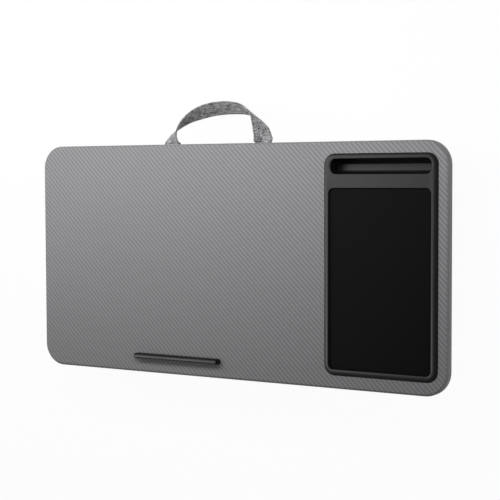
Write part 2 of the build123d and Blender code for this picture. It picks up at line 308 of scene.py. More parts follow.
@dataclass(frozen=True)
class MouldedPlastic(Finish):
    """ABS, moulded in a fine spark-eroded tool: a faint even grain with a satin sheen.

    The deep groove was never polished in the tool, so it stays dull and dark.
    """

    name: str = "moulded_black_abs"
    colour: str = "#101012"
    worn: str = "#151517"
    roughness: float = 0.36
    roughness_spread: float = 0.1
    shine: float = 0.33
    dull_below: float = -19 * MM
    dull_roughness: float = 0.6
    grain_size: float = 0.5 * MM
    grain_depth: float = 0.02 * MM
    blotch_size: float = 35 * MM

    def look(self, add: AddNode) -> dict[str, object]:
        """Grains the surface and dulls the groove.

        Args:
            add: Adds a node to the material.

        Returns:
            What feeds the shader.
        """
        place = add("TexCoord").outputs["Object"]
        blotch = add("TexNoise", [place, 1 / self.blotch_size])
        height = add("SeparateXYZ", [place]).outputs[2]
        deep = add("Math", [height, self.dull_below], operation="LESS_THAN")
        rough = [blotch, self.roughness_spread, self.roughness]
        rough = [deep, self.dull_roughness, add("Math", rough, operation="MULTIPLY_ADD")]
        relief = add("TexNoise", [place, 1 / self.grain_size])
        colours = [blotch, linear(self.colour), linear(self.worn)]
        return {
            "Base Color": add("Mix", colours, data_type="RGBA"),
            "Roughness": add("Math", rough, operation="MULTIPLY_ADD"),
            "IOR": 1.58,
            "Specular IOR Level": self.shine,
            "Normal": add("Bump", {"Height": relief, "Distance": self.grain_depth}),
        }


@dataclass(frozen=True)
class KnittedCloth(Finish):
    """Polyester jersey bonded to rubber: a deep matt black with a tight even knit.

    The stitches are twice real size, so that they show.
    """

    name: str = "knitted_black_polyester"
    colour: str = "#0E0E0F"
    lint: str = "#181819"
    stitch: float = 0.7 * MM
    stitch_depth: float = 0.12 * MM

    def look(self, add: AddNode) -> dict[str, object]:
        """Knits the face and scatters lint over it.

        Args:
            add: Adds a node to the material.

        Returns:
            What feeds the shader.
        """
        place = add("TexCoord").outputs["Object"]
        waves = []
        for axis in add("SeparateXYZ", [place]).outputs[:2]:
            phase = add("Math", [axis, TURN / self.stitch], operation="MULTIPLY")
            waves.append(add("Math", [phase], operation="SINE"))
        knit = add("Math", waves, operation="MULTIPLY")
        knit = add("Math", [knit, 0.5, 0.5], operation="MULTIPLY_ADD")
        fluff = add("TexNoise", [place, 1 / (2 * self.stitch)])
        lint = add("Math", [knit, fluff], operation="MULTIPLY")
        colours = [lint, linear(self.colour), linear(self.lint)]
        return {
            "Base Color": add("Mix", colours, data_type="RGBA"),
            "Roughness": 0.95,
            "Specular IOR Level": 0.1,
            "Sheen Weight": 0.02,
            "Sheen Roughness": 0.5,
            "Normal": add("Bump", {"Height": knit, "Distance": self.stitch_depth}),
        }


@dataclass(frozen=True)
class GrainedSheet(Finish):
    """A sheet or foam with one random grain: backing paper, fibre board, felt or rubber."""

    colour: str
    fleck: str
    grain_size: float
    grain_depth: float
    roughness: float
    detail: float = 3.0

    def look(self, add: AddNode) -> dict[str, object]:
        """Speckles the sheet.

        Args:
            add: Adds a node to the material.

        Returns:
            What feeds the shader.
        """
        place = add("TexCoord").outputs["Object"]
        speckle = add("TexNoise", [place, 1 / self.grain_size, self.detail])
        colours = [speckle, linear(self.colour), linear(self.fleck)]
        return {
            "Base Color": add("Mix", colours, data_type="RGBA"),
            "Roughness": self.roughness,
            "Normal": add("Bump", {"Height": speckle, "Distance": self.grain_depth}),
        }


@dataclass(frozen=True)
class ZincPlate(Finish):
    """Steel, zinc plated and tumbled: a dull metal with fine random scratches."""

    name: str = "zinc_plated_steel"
    colour: str = "#B9BBBE"
    dull: str = "#96989C"
    scratch: float = 0.6 * MM
    detail: float = 4.0
    roughness: float = 0.25
    roughness_spread: float = 0.3

    def look(self, add: AddNode) -> dict[str, object]:
        """Scuffs the plating.

        Args:
            add: Adds a node to the material.

        Returns:
            What feeds the shader.
        """
        place = add("TexCoord").outputs["Object"]
        scuffs = add("TexNoise", [place, 1 / self.scratch, self.detail])
        rough = [scuffs, self.roughness_spread, self.roughness]
        colours = [scuffs, linear(self.dull), linear(self.colour)]
        return {
            "Base Color": add("Mix", colours, data_type="RGBA"),
            "Metallic": 1.0,
            "Roughness": add("Math", rough, operation="MULTIPLY_ADD"),
        }


@dataclass(frozen=True)
class SewingThread(Finish):
    """Twisted polyester thread: a pale grey that its twist marks with soft darker shades."""

    name: str = "polyester_sewing_thread"
    colour: str = "#8E8E90"
    shade: str = "#5E5E60"
    twist: float = 0.9 * MM

    def look(self, add: AddNode) -> dict[str, object]:
        """Shades the twist.

        Args:
            add: Adds a node to the material.

        Returns:
            What feeds the shader.
        """
        ply = add("TexNoise", [add("TexCoord").outputs["Object"], 1 / self.twist])
        colours = [ply, linear(self.shade), linear(self.colour)]
        return {"Base Color": add("Mix", colours, data_type="RGBA"), "Roughness": 0.7}


@dataclass(frozen=True)
class FasteningTape(Finish):
    """Woven nylon tape with rows of hooks or loops: a regular prickly nap."""

    name: str = "nylon_hook_tape"
    colour: str = "#161618"
    # painted highlight on the nap's tips; the base colour takes painted shade between them
    painted_tip_highlight: str = "#3A3A3D"
    pitch: float = 1.6 * MM
    scatter: float = 0.3
    nap_depth: float = 0.4 * MM

    def look(self, add: AddNode) -> dict[str, object]:
        """Raises the nap, and paints its tips lighter and its base darker.

        Args:
            add: Adds a node to the material.

        Returns:
            What feeds the shader.
        """
        place = add("TexCoord").outputs["Object"]
        rows = {"Vector": place, "Scale": 1 / self.pitch, "Randomness": self.scatter}
        nap = add("Math", [1.0, add("TexVoronoi", rows)], operation="SUBTRACT")
        # Painted highlight and shade: the colour follows the nap's height, lighter at the tips and
        # darker at the base.
        colours = [nap, linear(self.colour), linear(self.painted_tip_highlight)]
        return {
            "Base Color": add("Mix", colours, data_type="RGBA"),
            "Roughness": 0.6,
            "Normal": add("Bump", {"Height": nap, "Distance": self.nap_depth}),
        }


class Follow(Enum):
    """What a woven pattern follows."""

    SURFACE_MAP = "the piece's own map, in metres"
    OBJECT = "the object, seen along each axis"


@dataclass(frozen=True)
class HeatheredWeave(Finish):
    """Plain-woven polyester of mixed pale and dark yarns, drawn twice real size to show.

    The yarns differ along their length, which gives a mottled grey with short streaks. The
    colour is also painted darker between the yarns and lighter on their crowns, as painted
    shade and painted highlight. A hemmed strap also has a darker turned edge and a pale row
    of stitches beside it.
    """

    dark: str
    pale: str
    yarn: float
    yarn_depth: float = 0.25 * MM
    streak: float = 5.0 * MM
    streak_detail: float = 1.0
    blotch: float = 9.0 * MM
    blotch_share: float = 0.6
    middle: float = 1.3
    contrast: float = 0.56
    # painted shade between the yarns and painted highlight on their crowns, from the weave's height
    valley_painted_shade: float = 0.62
    crown: float = 0.5
    follow: Follow = Follow.OBJECT
    half_width: float = 0.0
    hem: float = 2.6 * MM
    hem_blur: float = 0.15
    hem_dark: str = "#5A5A5C"
    hem_share: float = 0.3
    thread_pale: str = "#B4B4B5"
    thread_width: float = 0.7 * MM
    thread_rise: float = 0.8
    thread_inset: float = 1.4
    stitch: float = 3.6 * MM
    stitch_share: float = 0.75

    def look(self, add: AddNode) -> dict[str, object]:
        """Mixes the yarns and weaves them.

        Args:
            add: Adds a node to the material.

        Returns:
            What feeds the shader.
        """
        if self.follow is Follow.SURFACE_MAP:
            place = add("UVMap", uv_map=FLAT_MAP).outputs[0]
        else:
            place = add("TexCoord").outputs["Object"]
        streaks = []
        for along in (0, 1):
            stretch = [1.0, 1.0, 1.0]
            stretch[along] = self.yarn / self.streak
            mapped = add("Mapping", {"Vector": place, "Scale": stretch})
            streaks.append(add("TexNoise", [mapped, 1 / self.yarn, self.streak_detail]))
        mottle = add("Math", streaks, operation="ADD")
        blotches = add("TexNoise", [place, 1 / self.blotch])
        mottle = add("Math", [blotches, self.blotch_share, mottle], operation="MULTIPLY_ADD")
        half = self.contrast / 2
        heather = add("MapRange", [mottle, self.middle - half, self.middle + half])
        height = self.weave(add, place)
        # Painted shade and highlight: the weave's height darkens the colour between the yarns and
        # lightens it on the crowns.
        shade = add("Math", [height, self.crown, self.valley_painted_shade], operation="MULTIPLY_ADD")
        level = add("Math", [heather, shade], operation="MULTIPLY")
        colours = [level, linear(self.dark), linear(self.pale)]
        colour = add("Mix", colours, data_type="RGBA")
        if self.half_width:
            colour, height = self.hemmed(add, place, colour, height)
        return {
            "Base Color": colour,
            "Roughness": 0.9,
            "Specular IOR Level": 0.25,
            "Sheen Weight": 0.15,
            "Sheen Roughness": 0.4,
            "Normal": add("Bump", {"Height": height, "Distance": self.yarn_depth}),
        }

    def weave(self, add: AddNode, place: bpy.types.NodeSocket) -> bpy.types.Node:
        """The height of the crossing yarns.

        Args:
            add: Adds a node to the material.
            place: The coordinates that the weave follows.

        Returns:
            A node that gives 0 between yarns and 1 at a crown.
        """
        waves = []
        for axis in add("SeparateXYZ", [place]).outputs:
            phase = add("Math", [axis, TURN / 2 / self.yarn], operation="MULTIPLY")
            waves.append(add("Math", [phase], operation="SINE"))
        if self.follow is Follow.SURFACE_MAP:
            crossing = add("Math", waves[:2], operation="MULTIPLY")
            return add("Math", [crossing, 0.5, 0.5], operation="MULTIPLY_ADD")
        facing = add("SeparateXYZ", [add("TexCoord").outputs["Normal"]]).outputs
        total = 0.5
        for n in range(3):
            crossing = add("Math", waves[:n] + waves[n + 1 :], operation="MULTIPLY")
            square = add("Math", [facing[n], 2.0], operation="POWER")
            share = add("Math", [square, 0.5], operation="MULTIPLY")
            total = add("Math", [crossing, share, total], operation="MULTIPLY_ADD")
        return total

    def hemmed(
        self,
        add: AddNode,
        place: bpy.types.NodeSocket,
        colour: bpy.types.Node,
        height: bpy.types.Node,
    ) -> tuple[bpy.types.Node, bpy.types.Node]:
        """Darkens the turned edges and lays a row of stitches inside each.

        Args:
            add: Adds a node to the material.
            place: The strap's own map: along it, then across it from its middle.
            colour: The weave's colour.
            height: The weave's height.

        Returns:
            The colour and the height with the hems in them.
        """
        axes = add("SeparateXYZ", [place]).outputs
        outward = add("Math", [axes[1]], operation="ABSOLUTE")
        inward = add("Math", [self.half_width, outward], operation="SUBTRACT")
        blur = [self.hem * (1 + self.hem_blur), self.hem * (1 - self.hem_blur)]
        turned = add("MapRange", [inward, *blur])
        turned = add("Math", [turned, self.hem_share], operation="MULTIPLY")
        aside = add("Math", [inward, self.hem * self.thread_inset], operation="SUBTRACT")
        aside = add("Math", [aside], operation="ABSOLUTE")
        on_line = add("Math", [aside, self.thread_width / 2], operation="LESS_THAN")
        beat = add("Math", [axes[0], self.stitch], operation="DIVIDE")
        beat = add("Math", [beat], operation="FRACT")
        sewn = add("Math", [beat, self.stitch_share], operation="LESS_THAN")
        thread = add("Math", [on_line, sewn], operation="MULTIPLY")
        colour = add("Mix", [turned, colour, linear(self.hem_dark)], data_type="RGBA")
        colour = add("Mix", [thread, colour, linear(self.thread_pale)], data_type="RGBA")
        return colour, add("Math", [thread, self.thread_rise, height], operation="MULTIPLY_ADD")


# Mesh helpers


def add_piece(
    name: str,
    shape: bmesh.types.BMesh,
    material: bpy.types.Material,
    crease: float = math.radians(35),
) -> bpy.types.Object:
    """Turns a finished bmesh into a piece of the object.

    Args:
        name: The piece's name.
        shape: The bmesh, which is freed.
        material: Its finish.
        crease: The angle past which an edge stays sharp.

    Returns:
        The new object.
    """
    mesh = bpy.data.meshes.new(name)
    shape.to_mesh(mesh)
    shape.free()
    mesh.shade_smooth()
    mesh.set_sharp_from_angle(angle=crease)
    mesh.materials.append(material)
    piece = bpy.data.objects.new(name, mesh)
    bpy.context.scene.collection.objects.link(piece)
    return piece


def merged_copy(node: str) -> bmesh.types.BMesh:
    """Copies a CAD node's loose triangles into one joined skin.

    Args:
        node: The CAD node's name.

    Returns:
        A bmesh with its doubles merged.
    """
    shape = bmesh.new()
    shape.from_mesh(frame["nodes"][node].data)
    bmesh.ops.remove_doubles(shape, verts=shape.verts, dist=MERGE)
    return shape


def slab(low: Vector, high: Vector, corner: float, edge: float) -> bmesh.types.BMesh:
    """A flat plate with round corners and a soft top edge.

    Args:
        low: Its lowest corner.
        high: Its highest corner.
        corner: The radius of its four upright corners.
        edge: The radius round its top.

    Returns:
        The bmesh of the plate.
    """
    shape = bmesh.new()
    size = high - low
    bmesh.ops.create_cube(shape, size=1)
    bmesh.ops.scale(shape, vec=size, verts=shape.verts)
    bmesh.ops.translate(shape, vec=(low + high) / 2, verts=shape.verts)
    uprights = [e for e in shape.edges if abs((e.verts[0].co - e.verts[1].co).z) > size.z / 2]
    round_off(shape, uprights, corner, CORNER_STEPS)
    rim = [e for e in shape.edges if all(v.co.z > high.z - MERGE for v in e.verts)]
    round_off(shape, rim, edge, EDGE_STEPS)
    return shape


def round_off(
    shape: bmesh.types.BMesh, edges: list[bmesh.types.BMEdge], radius: float, segments: int
) -> None:
    """Rounds some edges.

    Args:
        shape: The bmesh.
        edges: The edges to round.
        radius: How far the round reaches from the edge.
        segments: How many steps it has.
    """
    bmesh.ops.bevel(
        shape,
        geom=edges,
        offset=radius,
        offset_type="OFFSET",
        affect="EDGES",
        segments=segments,
        profile=0.5,
        material=-1,
        clamp_overlap=True,
    )


def even_normals(piece: bpy.types.Object) -> None:
    """Keeps a CAD skin's flat faces flat beside its rounded edges.

    Args:
        piece: The skin.
    """
    even = piece.modifiers.new("flat faces stay flat", "WEIGHTED_NORMAL")
    even.keep_sharp = True
    apply_modifiers(piece)


def apply_modifiers(piece: bpy.types.Object) -> None:
    """Bakes a piece's modifiers into its mesh.

    Args:
        piece: The object, which keeps its materials.
    """
    graph = bpy.context.evaluated_depsgraph_get()
    shaped = bpy.data.meshes.new_from_object(piece.evaluated_get(graph))
    piece.modifiers.clear()
    piece.data = shaped


# The board and what is fixed to it


@dataclass
class Board:
    """The board: a fibre core in a twill-printed film, with a backing sheet under it."""

    crease: float = math.radians(28)

    def build(self) -> None:
        """Dresses the core and the backing, and joins the film's skin."""
        # Fibre board, sawn and drilled: a dry brown with coarse paler flecks.
        fibre = GrainedSheet(
            "sawn_fibre_board",
            colour="#7A5F45",
            fleck="#9C7F60",
            grain_size=1.2 * MM,
            grain_depth=0.15 * MM,
            roughness=0.9,
        )
        # Coated paper, glued on: a flat and almost even black.
        backing = GrainedSheet(
            "black_backing_paper",
            colour="#1C1C1D",
            fleck="#262628",
            grain_size=0.6 * MM,
            grain_depth=0.03 * MM,
            roughness=0.8,
        )
        dress("board_core", fibre.build())
        dress("underside_liner", backing.build())
        _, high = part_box("board_film")
        twill = TwillFilm(half_size=(high.x, high.y)).build()
        film = add_piece("twill_film", merged_copy("board_film"), twill, self.crease)
        even_normals(film)
        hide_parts("board_film")
        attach(film, Body.TRAY.value)
        log.info("board: core, backing and film")


def dress(node: str, material: bpy.types.Material) -> None:
    """Gives a CAD node its finish.

    Args:
        node: The CAD node's name.
        material: The finish.
    """
    mesh = frame["nodes"][node].data
    mesh.materials.clear()
    mesh.materials.append(material)


@dataclass
class MediaTray:
    """The moulding at the right, with its mouse pad and the screws under the pad."""

    pad_edge: float = 0.35 * MM
    pad_corner: float = 6.25 * MM
    crease: float = math.radians(24)

    def build(self) -> None:
        """Joins the moulding's skin, makes the pad's cloth and dresses the rest."""
        plastic = MouldedPlastic().build()
        moulding = add_piece(
            "media_tray_moulding", merged_copy("media_tray"), plastic, self.crease
        )
        even_normals(moulding)
        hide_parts("media_tray")
        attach(moulding, Body.TRAY.value)
        low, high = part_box("mouse_pad_cloth")
        cloth = add_piece(
            "mouse_pad_face",
            slab(low, high, self.pad_corner, self.pad_edge),
            KnittedCloth().build(),
        )
        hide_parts("mouse_pad_cloth")
        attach(cloth, Body.TRAY.value)
        # Rubber, foamed and cut from a sheet: a dull black with fine pores.
        rubber = GrainedSheet(
            "black_foam_rubber",
            colour="#0E0E0E",
            fleck="#1A1A1A",
            grain_size=0.5 * MM,
            grain_depth=0.1 * MM,
            roughness=0.9,
        )
        dress("mouse_pad_foam", rubber.build())
        dress("tray_screws", ZincPlate().build())
        log.info("media tray: moulding, mouse pad and screws")


@dataclass
class DeviceLedge:
    """The stop bar near the board's front edge and its screws."""

    crease: float = math.radians(28)
    shoulder_round: float = 0.8 * MM
    shoulder_steps: int = 4
    flat_angle: float = math.radians(1)
    flat_slack: float = 0.05 * MM

    def build(self) -> None:
        """Rounds the bar's shoulders and dresses its screws."""
        shape = merged_copy("device_ledge")
        bmesh.ops.dissolve_limit(
            shape, angle_limit=self.flat_angle, verts=shape.verts, edges=shape.edges
        )
        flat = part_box("device_ledge")[1].z - self.flat_slack
        top = [e for e in shape.edges if all(v.co.z > flat for v in e.verts)]
        round_off(shape, top, self.shoulder_round, self.shoulder_steps)
        # ABS from a polished tool: a smoother face than the tray's, so it looks blacker.
        plastic = MouldedPlastic("polished_black_abs", roughness=0.2, shine=0.14).build()
        bar = add_piece("device_ledge_bar", shape, plastic, self.crease)
        even_normals(bar)
        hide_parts("device_ledge")
        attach(bar, Body.TRAY.value)
        dress("ledge_screws", ZincPlate("zinc_plated_pan_screw").build())
        log.info("device ledge: bar and screws")


# The strap


@dataclass
class CarryStrap:
    """One woven strap: two flat sewn ends and a free loop that turns over between them.

    The loop's middle line is an arch that rises to the rear, droops and draws in from its
    feet. The turns are how many degrees the strap has turned over, from foot to foot.
    """

    rise: float = 45.0 * MM
    droop: float = 24.5 * MM
    fullness: float = 0.846
    droop_power: float = 2.39
    foot_draw: float = 6.2 * MM
    turns: tuple[float, ...] = (0, 28, 60, 91, 122, 129, 117, 97, 66, 48, 0)
    thickness: float = 1.7 * MM
    edge_roll: float = 0.68 * MM
    loop_steps: int = 120
    tab_steps: int = 12
    width_steps: int = 10
    slope_step: float = 0.0001
    flex_start: float = -1.5 * MM
    flex_end: float = 5.0 * MM

    def __post_init__(self) -> None:
        """Reads the strap's place from the frame."""
        left_low, left_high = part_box("handle_tab_left")
        right_low, right_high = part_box("handle_tab_right")
        self.width = left_high.x - left_low.x
        self.left = (left_low.x + left_high.x) / 2
        self.right = (right_low.x + right_high.x) / 2
        self.hinge = Vector(frame["joints"][0]["pos_m"])
        self.tab_reach = self.hinge.y - left_low.y

    def arch_point(self, share: float) -> Vector:
        """A point on the loop's middle line.

        Args:
            share: How far round the loop, from 0 at the left foot to 1 at the right.

        Returns:
            The point, in metres.
        """
        angle = math.pi * share
        across = math.copysign(abs(math.cos(angle)) ** self.fullness, -math.cos(angle))
        lift = abs(math.sin(angle)) ** self.fullness
        middle = (self.left + self.right) / 2
        half = (self.right - self.left) / 2 - self.foot_draw * lift
        return Vector(
            (
                middle + across * half,
                self.hinge.y + self.rise * lift,
                self.hinge.z - self.droop * lift**self.droop_power,
            )
        )

    def turn(self, share: float) -> float:
        """How far the strap has turned over at one place: a smooth curve through its turns.

        Args:
            share: How far round the loop.

        Returns:
            The turn, in radians.
        """
        steps = len(self.turns) - 1
        first, last = (2 * self.turns[n] - self.turns[m] for n, m in ((0, 1), (-1, -2)))
        known = (first, *self.turns, last)
        place = math.acos(1 - 2 * share) / math.pi * steps
        start = min(int(place), steps - 1)
        past = place - start
        # A cubic from b to c, whose slope at each is half the step between its neighbours.
        a, b, c, d = known[start : start + 4]
        bend = (2 * a - 5 * b + 4 * c - d) * past**2 + (3 * b - a - 3 * c + d) * past**3
        return math.radians(b + ((c - a) * past + bend) / 2)

    def station(self, share: float) -> Matrix:
        """The place and turn of the strap's section at one place on the loop.

        Args:
            share: How far round the loop.

        Returns:
            A matrix whose X runs across the strap and whose Z is along it.
        """
        before = self.arch_point(max(share - self.slope_step, 0.0))
        after = self.arch_point(min(share + self.slope_step, 1.0))
        along = (after - before).normalized()
        if share in (0.0, 1.0):
            along = Vector((0.0, 1.0 - 2.0 * share, 0.0))
        turn = self.turn(share)
        outward = Vector((0, 0, 1)).cross(along).normalized()
        upward = along.cross(outward)
        across = outward * math.cos(turn) - upward * math.sin(turn)
        out = along.cross(across)
        place = Matrix((across, out, along)).transposed().to_4x4()
        place.translation = self.arch_point(share)
        return place

    def stations(self) -> list[Matrix]:
        """All the sections, from the end of the left tab to the end of the right.

        Returns:
            Their places and turns.
        """
        loop = [self.station(n / self.loop_steps) for n in range(self.loop_steps + 1)]
        step = self.tab_reach / self.tab_steps
        back = Vector((0, -step, 0))
        left = [Matrix.Translation(back * n) @ loop[0] for n in range(self.tab_steps, 0, -1)]
        right = [Matrix.Translation(back * n) @ loop[-1] for n in range(1, self.tab_steps + 1)]
        return left + loop + right

    def build(self) -> None:
        """Makes the strap from one flat grid, laid along the loop."""
        stations = self.stations()
        shape = bmesh.new()
        flat_map = shape.loops.layers.uv.new(FLAT_MAP)
        bmesh.ops.create_grid(
            shape, x_segments=self.width_steps, y_segments=len(stations) - 1, size=0.5
        )
        lengths = [0.0]
        for before, after in zip(stations, stations[1:]):
            lengths.append(lengths[-1] + (after.translation - before.translation).length)
        shape.verts.index_update()
        spots = []
        for vertex in shape.verts:
            row = round((vertex.co.y + 0.5) * (len(stations) - 1))
            spots.append((vertex.co.x * self.width, row))
        for face in shape.faces:
            for loop in face.loops:
                across, row = spots[loop.vert.index]
                loop[flat_map].uv = (lengths[row], across)
        for vertex, (across, row) in zip(shape.verts, spots):
            vertex.co = stations[row] @ Vector((across, 0, 0))
        # Close webbing, woven heavier than a cover: a mid grey with fine streaks.
        fabric = HeatheredWeave(
            "heathered_strap_webbing",
            dark="#4A4A4C",
            pale="#C6C6C8",
            yarn=0.9 * MM,
            streak=7 * MM,
            contrast=0.34,
            follow=Follow.SURFACE_MAP,
            half_width=self.width / 2,
        )
        strap = add_piece("carry_strap", shape, fabric.build(), ALL_SMOOTH)
        wall = strap.modifiers.new("woven thickness", "SOLIDIFY")
        wall.thickness = self.thickness
        wall.offset = 0
        soft = strap.modifiers.new("rolled edges", "BEVEL")
        soft.width = self.edge_roll
        soft.segments = EDGE_STEPS
        soft.limit_method = "ANGLE"
        apply_modifiers(strap)
        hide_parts("handle_strap", "handle_tab_left", "handle_tab_right")
        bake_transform(strap)
        log.info("carry strap: %d stations", len(stations))


# The cushion


@dataclass
class Pad:
    """A stuffed form: its CAD solid drawn in a little, then blown up to fill its cover.

    The sizes are how deep the solid is drawn in, how far the cover may sink or swell from
    there, how much of its upper part stays on the solid, and how its slow ripples run.
    """

    name: str
    node: str
    fill: float
    drawn_in: float
    swell: float
    twin: str = ""
    sink: float = 0.5 * MM
    voxel: float = 5 * MM
    pressure: float = 4.0
    frames: int = 20
    top_reach: float = 9 * MM
    ripple: float = 0.9 * MM
    ripple_width: float = 45 * MM
    ripple_sink: float = 0.5
    ripple_rest: float = 8 * MM

    def build(self, material: bpy.types.Material) -> bpy.types.Object:
        """Args:
            material: The cover's finish.

        Returns:
            The finished pad.
        """
        piece = add_piece(self.name, self.outline(), material, ALL_SMOOTH)
        skin = piece.modifiers.new("even skin", "REMESH")
        skin.mode = "VOXEL"
        skin.voxel_size = self.voxel
        apply_modifiers(piece)
        home = [v.co.copy() for v in piece.data.vertices]
        for vertex, place, normal in zip(piece.data.vertices, home, piece.data.vertex_normals):
            vertex.co = place - normal.vector * self.drawn_in
        self.inflate(piece)
        self.sew_to_top(piece, home)
        finer = piece.modifiers.new("finer cover", "SUBSURF")
        finer.levels = finer.render_levels = 1
        apply_modifiers(piece)
        self.ruffle(piece)
        piece.data.shade_smooth()
        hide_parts(self.node)
        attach(piece, Body.TRAY.value)
        log.info("%s: %d faces", self.name, len(piece.data.polygons))
        return piece

    def outline(self) -> bmesh.types.BMesh:
        """Copies the pad's CAD solid, or mirrors a twin that has no pocket in it.

        Returns:
            The bmesh that the pad starts from.
        """
        shape = merged_copy(self.twin or self.node)
        if self.twin:
            bmesh.ops.scale(shape, vec=(-1, 1, 1), verts=shape.verts)
            bmesh.ops.reverse_faces(shape, faces=shape.faces)
        return shape

    def inflate(self, piece: bpy.types.Object) -> None:
        """Blows the cover up with cloth pressure, and keeps the swelling within a cap.

        Args:
            piece: The pad, whose mesh is changed.
        """
        scene = bpy.context.scene
        rest = [v.co.copy() for v in piece.data.vertices]
        outward = [n.vector.copy() for n in piece.data.vertex_normals]
        cloth = piece.modifiers.new("stuffing", "CLOTH")
        cloth.settings.use_pressure = True
        cloth.settings.uniform_pressure_force = self.pressure
        cloth.settings.effector_weights.gravity = 0
        for number in range(1, self.frames + 1):
            scene.frame_set(number)
        apply_modifiers(piece)
        scene.frame_set(1)
        for vertex, start, normal in zip(piece.data.vertices, rest, outward):
            swelling = (vertex.co - start).dot(normal)
            vertex.co = start + normal * min(max(swelling, -self.sink), self.swell)

    def sew_to_top(self, piece: bpy.types.Object, home: list[Vector]) -> None:
        """Brings the upper edge back to its seam and flattens the foot that it rests on.

        Args:
            piece: The pad, whose mesh is changed.
            home: Where each point was on the CAD solid.
        """
        low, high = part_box(self.node)
        for vertex, place in zip(piece.data.vertices, home):
            share = min(max(1 - (high.z - place.z) / self.top_reach, 0.0), 1.0)
            share = share * share * (3 - 2 * share)  # eases in and out
            vertex.co = vertex.co.lerp(place, share)
            vertex.co.z = min(max(vertex.co.z, low.z), high.z)

    def ruffle(self, piece: bpy.types.Object) -> None:
        """Adds the slow waves of cloth over soft filling, but not where the pad rests.

        Args:
            piece: The pad, whose mesh is changed.
        """
        low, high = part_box(self.node)
        normals = [n.vector.copy() for n in piece.data.vertex_normals]
        for vertex, normal in zip(piece.data.vertices, normals):
            free = min(vertex.co.z - low.z, high.z - vertex.co.z, self.ripple_rest)
            wave = noise.noise(vertex.co / self.ripple_width) - self.ripple_sink
            vertex.co += normal * self.ripple * wave * max(free / self.ripple_rest, 0.0)


@dataclass
class TroughPocket:
    """The room that the right bolster leaves for the phone trough.

    The trough has a gap round it, and the cover has a wall of at least some thickness round
    that, into which it eases from below.
    """

    gap: float = 0.6 * MM
    wall: float = 2.6 * MM
    corner: float = 8.8 * MM
    ease: float = 10 * MM
    edge: float = 0.2 * MM

    def __post_init__(self) -> None:
        """Reads the trough's box from the part of the moulding that is below the panel."""
        self.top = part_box("bolster_right")[1].z
        mesh = frame["nodes"]["media_tray"].data
        deep = [v.co for v in mesh.vertices if v.co.z < self.top]
        self.low = Vector([min(p[n] for p in deep) - self.gap for n in range(3)])
        self.high = Vector([max(p[n] for p in deep) + self.gap for n in range(3)])

    def ease_over(self, piece: bpy.types.Object) -> None:
        """Stretches the cover out round the trough's rear and its corner.

        Args:
            piece: The bolster, whose mesh is changed.
        """
        centre = self.high - Vector((self.corner, self.corner, 0))
        needed = self.corner + self.wall
        for vertex in piece.data.vertices:
            share = min(max((vertex.co.z - self.low.z) / self.ease + 1, 0.0), 1.0)
            past = vertex.co - centre
            beyond = Vector((max(past.x, 0.0), max(past.y, 0.0), 0))
            if vertex.co.x > self.low.x and 0 < beyond.length < needed:
                vertex.co += beyond.normalized() * (needed - beyond.length) * share

    def cut(self, piece: bpy.types.Object) -> None:
        """Cuts the pocket out of the bolster.

        Args:
            piece: The bolster, whose mesh is changed.
        """
        high = Vector((self.high.x, self.high.y, self.top + self.ease))
        mesh = bpy.data.meshes.new("trough_room")
        shape = slab(self.low, high, self.corner, self.edge)
        shape.to_mesh(mesh)
        shape.free()
        room = bpy.data.objects.new("trough_room", mesh)
        bpy.context.scene.collection.objects.link(room)
        pocket = piece.modifiers.new("pocket for the trough", "BOOLEAN")
        pocket.operation = "DIFFERENCE"
        pocket.object = room
        apply_modifiers(piece)
        bpy.data.objects.remove(room)


